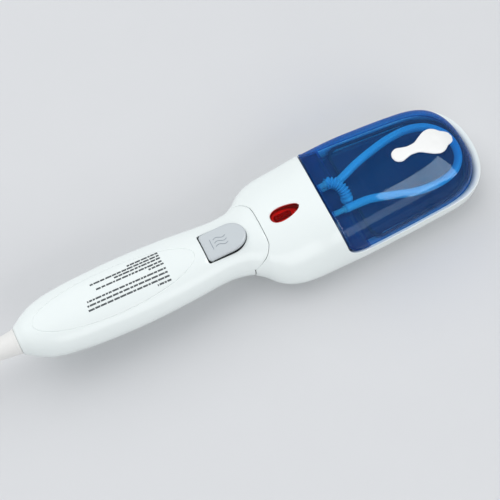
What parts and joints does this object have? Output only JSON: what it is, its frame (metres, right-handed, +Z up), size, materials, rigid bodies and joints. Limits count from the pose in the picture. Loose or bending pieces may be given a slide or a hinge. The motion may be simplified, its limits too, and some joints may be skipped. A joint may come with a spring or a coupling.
{
  "type": "garment steamer",
  "caption": "Handheld garment steamer with a rounded handle and steam button, a flat-soled steaming head under a clear blue water tank with a hinged filler cap, and a mains cord.",
  "frame": {"origin": "under the middle of the body, on the plane of the sole, not counting the cord", "axes": "+X from the handle to the tip of the head, +Y to the left of someone looking along +X, +Z up from the sole"},
  "size_m": [0.5514, 0.1206, 0.0561],
  "materials": {
    "white_shell": "gloss",
    "button_grey": "satin",
    "inner_plastic": "matte",
    "tank_blue": "clear, tinted, gloss",
    "tank_base_navy": "satin",
    "hose_vinyl": "satin",
    "silicone_white": "matte",
    "lens_red": "clear, tinted, gloss",
    "dark_plastic": "matte",
    "seal_rubber": "matte",
    "cord_vinyl": "satin",
    "steel": "bright",
    "aluminium": "fine satin",
    "brass": "bright",
    "lamp_glass": "clear"
  },
  "bodies": {
    "body": {"handle_cover": "white_shell", "handle_base": "white_shell", "head_housing": "white_shell", "sole_frame": "white_shell", "steam_plate": "aluminium", "heater_block": "aluminium", "heat_shield": "steel", "tank_base": "tank_base_navy", "tank_gasket": "seal_rubber", "water_tank": "tank_blue", "filler_cap_anchor": "silicone_white", "button_pin": "steel", "pump_body": "inner_plastic", "pump_lid": "inner_plastic", "pump_spring": "steel", "inlet_valve": "inner_plastic", "outlet_valve": "inner_plastic", "suction_hose": "hose_vinyl", "pump_hose": "hose_vinyl", "outlet_hose": "hose_vinyl", "feed_hose": "hose_vinyl", "tank_fitting_1": "inner_plastic", "tank_fitting_2": "inner_plastic", "tank_fitting_3": "inner_plastic", "pickup_bellows": "hose_vinyl", "pickup_filter": "inner_plastic", "water_hose": "hose_vinyl", "thermostat": "steel", "thermal_fuse": "brass", "lamp_lens": "lens_red", "neon_lamp": "lamp_glass", "lamp_holder": "dark_plastic", "terminal_block": "dark_plastic", "cord_clamp": "inner_plastic", "cord_core": "cord_vinyl", "lead_live": "dark_plastic", "lead_neutral": "dark_plastic", "strain_relief": "cord_vinyl", "cord": "cord_vinyl", "cord_coil": "cord_vinyl", "coil_tie": "dark_plastic", "cord_tail": "cord_vinyl", "plug_body": "cord_vinyl", "plug_pin_1": "brass", "plug_pin_2": "brass", "handle_screw_1": "steel", "handle_screw_2": "steel", "handle_screw_3": "steel", "sole_screw_1": "steel", "sole_screw_2": "steel", "sole_screw_3": "steel", "sole_screw_4": "steel"},
    "button": {"steam_button": "button_grey"},
    "plunger": {"pump_piston": "inner_plastic", "piston_seal": "seal_rubber"},
    "cap": {"filler_cap": "silicone_white"}
  },
  "joints": [
    {"name": "button_press", "type": "hinge", "parent": "body", "child": "button", "pos_m": [-0.034, 0, 0.0405], "axis": [0, 1, 0], "range_deg": [0, 4.8], "stiffness_Nm_per_rad": 0.35, "springref_deg": -3.44},
    {"name": "plunger_slide", "type": "slide", "parent": "body", "child": "plunger", "axis": [0, 0, -1], "range_m": [0, 0.002], "deforming": ["pump_spring"]},
    {"name": "cap_open", "type": "hinge", "parent": "body", "child": "cap", "pos_m": [0.114, 0, 0.0559], "axis": [0, -1, 0], "range_deg": [0, 110]}
  ],
  "couplings": [
    {"joint": "plunger_slide", "follows": "button_press", "m_per_rad": 0.02}
  ]
}
